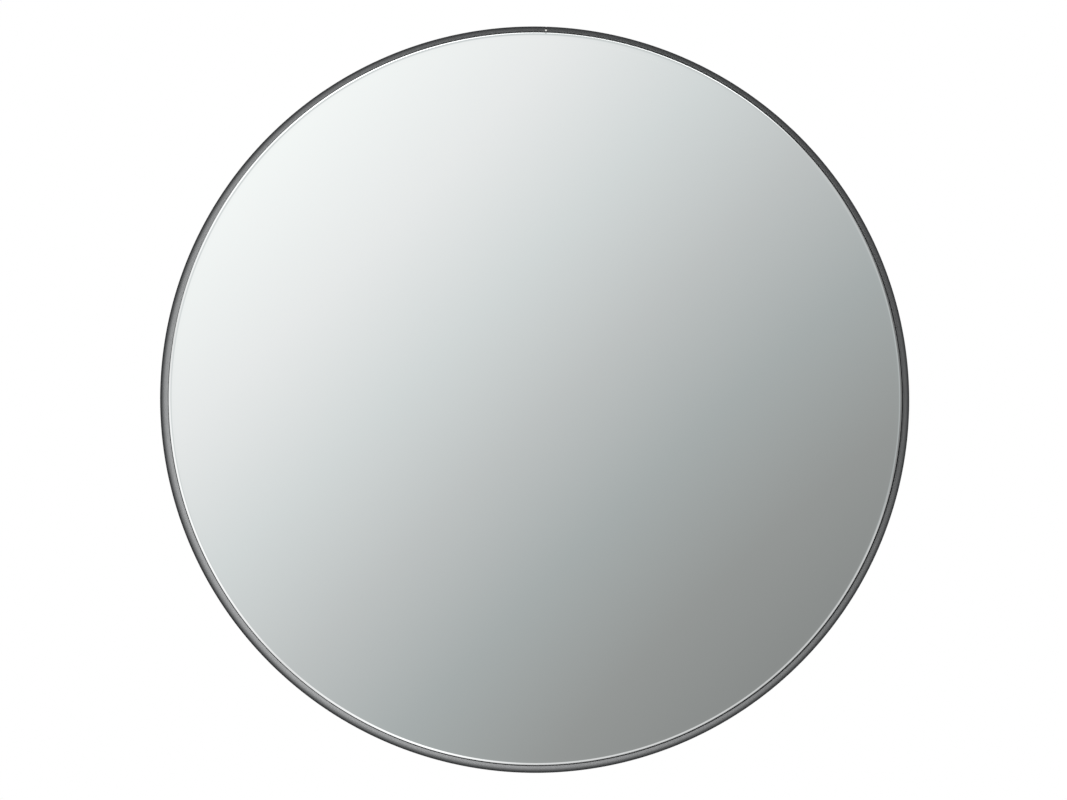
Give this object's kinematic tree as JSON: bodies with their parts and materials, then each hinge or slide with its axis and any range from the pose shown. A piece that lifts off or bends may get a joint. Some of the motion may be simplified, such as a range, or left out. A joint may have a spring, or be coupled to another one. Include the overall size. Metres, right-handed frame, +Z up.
{
  "type": "convex security mirror",
  "caption": "Round domed wall mirror with a thin metal rim and a dished back shell, on a ball joint and a short telescopic arm that swings from a round wall plate.",
  "frame": {"origin": "centre of the wall plate's back face", "axes": "+Y into the wall, so the mirror faces -Y; +Z up; +X to the right as seen from in front of the mirror"},
  "size_m": [0.6, 0.3607, 0.6],
  "materials": {
    "mirror_face": "mirrored acrylic",
    "rim_metal": "dark grey satin anodised",
    "seal_foam": "closed-cell foam strip",
    "shell_plastic": "fine-grained moulded plastic",
    "arm_paint": "dark grey powder coat",
    "zinc_steel": "bright zinc plate",
    "tube_steel": "plated tube",
    "knob_plastic": "black moulded plastic",
    "bearing_nylon": "natural nylon"
  },
  "bodies": {
    "wall": {"wall_bracket": "arm_paint", "pivot_bolt": "zinc_steel", "pivot_washer_top": "zinc_steel", "pivot_washer_bottom": "zinc_steel", "friction_washer_top": "bearing_nylon", "friction_washer_bottom": "bearing_nylon"},
    "pivot_knob": {"pivot_knob": "knob_plastic"},
    "arm": {"arm_knuckle": "arm_paint", "knuckle_pin": "zinc_steel", "outer_tube": "arm_paint", "tube_bush": "knob_plastic", "clamp_collar": "arm_paint", "clamp_pad": "bearing_nylon"},
    "clamp_knob": {"clamp_knob": "knob_plastic"},
    "extension": {"inner_tube": "tube_steel", "tube_glide": "bearing_nylon", "socket_body": "arm_paint", "socket_pin": "zinc_steel"},
    "lock_ring": {"lock_ring": "knob_plastic"},
    "liner": {"liner_ring": "bearing_nylon", "liner_cup": "bearing_nylon"},
    "stud": {"ball_stud": "zinc_steel", "stud_washer": "zinc_steel", "stud_nut": "zinc_steel"},
    "head": {"mirror_lens": "mirror_face", "edge_seal": "seal_foam", "back_shell": "shell_plastic", "rim_channel": "rim_metal", "rim_splice": "rim_metal", "rim_rivet_1": "zinc_steel", "rim_rivet_2": "zinc_steel", "hub_plate": "zinc_steel", "backing_plate": "zinc_steel", "hub_bolt_1": "zinc_steel", "hub_bolt_2": "zinc_steel", "hub_bolt_3": "zinc_steel", "hub_bolt_4": "zinc_steel", "hub_nut_1": "zinc_steel", "hub_nut_2": "zinc_steel", "hub_nut_3": "zinc_steel", "hub_nut_4": "zinc_steel"}
  },
  "joints": [
    {"name": "arm_swing", "type": "hinge", "parent": "wall", "child": "arm", "pos_m": [0, -0.032, 0], "axis": [0, 0, 1], "range_deg": [-45, 45]},
    {"name": "pivot_knob_turn", "type": "hinge", "parent": "wall", "child": "pivot_knob", "pos_m": [0, -0.032, 0], "axis": [0, 0, -1], "range_deg": [-360, 0]},
    {"name": "arm_extend", "type": "slide", "parent": "arm", "child": "extension", "axis": [0, -1, 0], "range_m": [0, 0.08]},
    {"name": "clamp_knob_turn", "type": "hinge", "parent": "arm", "child": "clamp_knob", "pos_m": [0, -0.1635, 0], "axis": [0, 0, -1], "range_deg": [-360, 0]},
    {"name": "lock_ring_turn", "type": "hinge", "parent": "extension", "child": "lock_ring", "pos_m": [0, -0.2291, 0], "axis": [0, 1, 0], "range_deg": [-90, 0]},
    {"name": "mirror_pan", "type": "hinge", "parent": "extension", "child": "liner", "pos_m": [0, -0.2291, 0], "axis": [0, 0, 1], "range_deg": [-25, 25]},
    {"name": "mirror_tilt", "type": "hinge", "parent": "liner", "child": "stud", "pos_m": [0, -0.2291, 0], "axis": [1, 0, 0], "range_deg": [-25, 25]},
    {"name": "mirror_spin", "type": "hinge", "parent": "stud", "child": "head", "pos_m": [0, -0.2291, 0], "axis": [0, -1, 0], "continuous": true}
  ]
}
